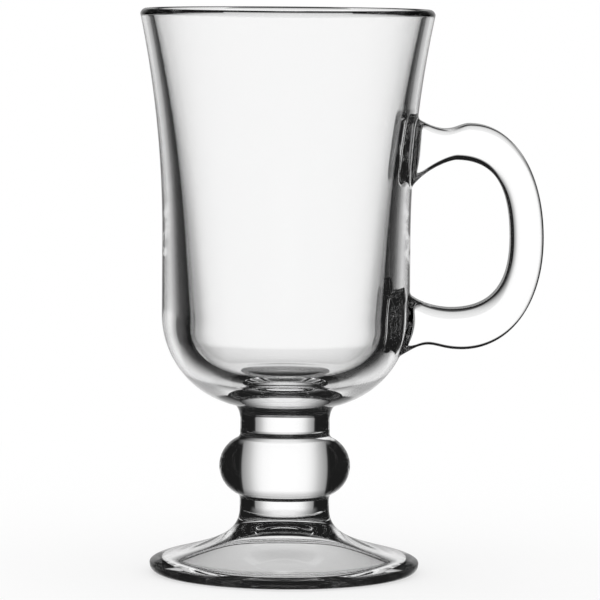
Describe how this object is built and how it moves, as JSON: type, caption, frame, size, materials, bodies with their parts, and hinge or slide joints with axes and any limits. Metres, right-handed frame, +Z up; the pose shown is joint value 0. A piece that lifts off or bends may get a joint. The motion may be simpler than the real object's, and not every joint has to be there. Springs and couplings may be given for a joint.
{
  "type": "irish coffee glass mug",
  "caption": "Clear pressed-glass mug for hot drinks: flared heavy-walled bowl with a loop handle on a short knopped stem and a wide low foot.",
  "frame": {"origin": "on the axis of the bowl, stem and foot, at the plane of the resting ring under the foot", "axes": "+Z up along the axis of the bowl, stem and foot; +X from the axis towards the handle; the XZ plane is the mirror plane"},
  "size_m": [0.1057, 0.077, 0.148],
  "materials": {
    "clear_glass": "clear pressed soda-lime glass, fire-polished"
  },
  "bodies": {
    "root": {"bowl": "clear_glass", "handle": "clear_glass", "stem": "clear_glass", "foot": "clear_glass"}
  },
  "joints": []
}
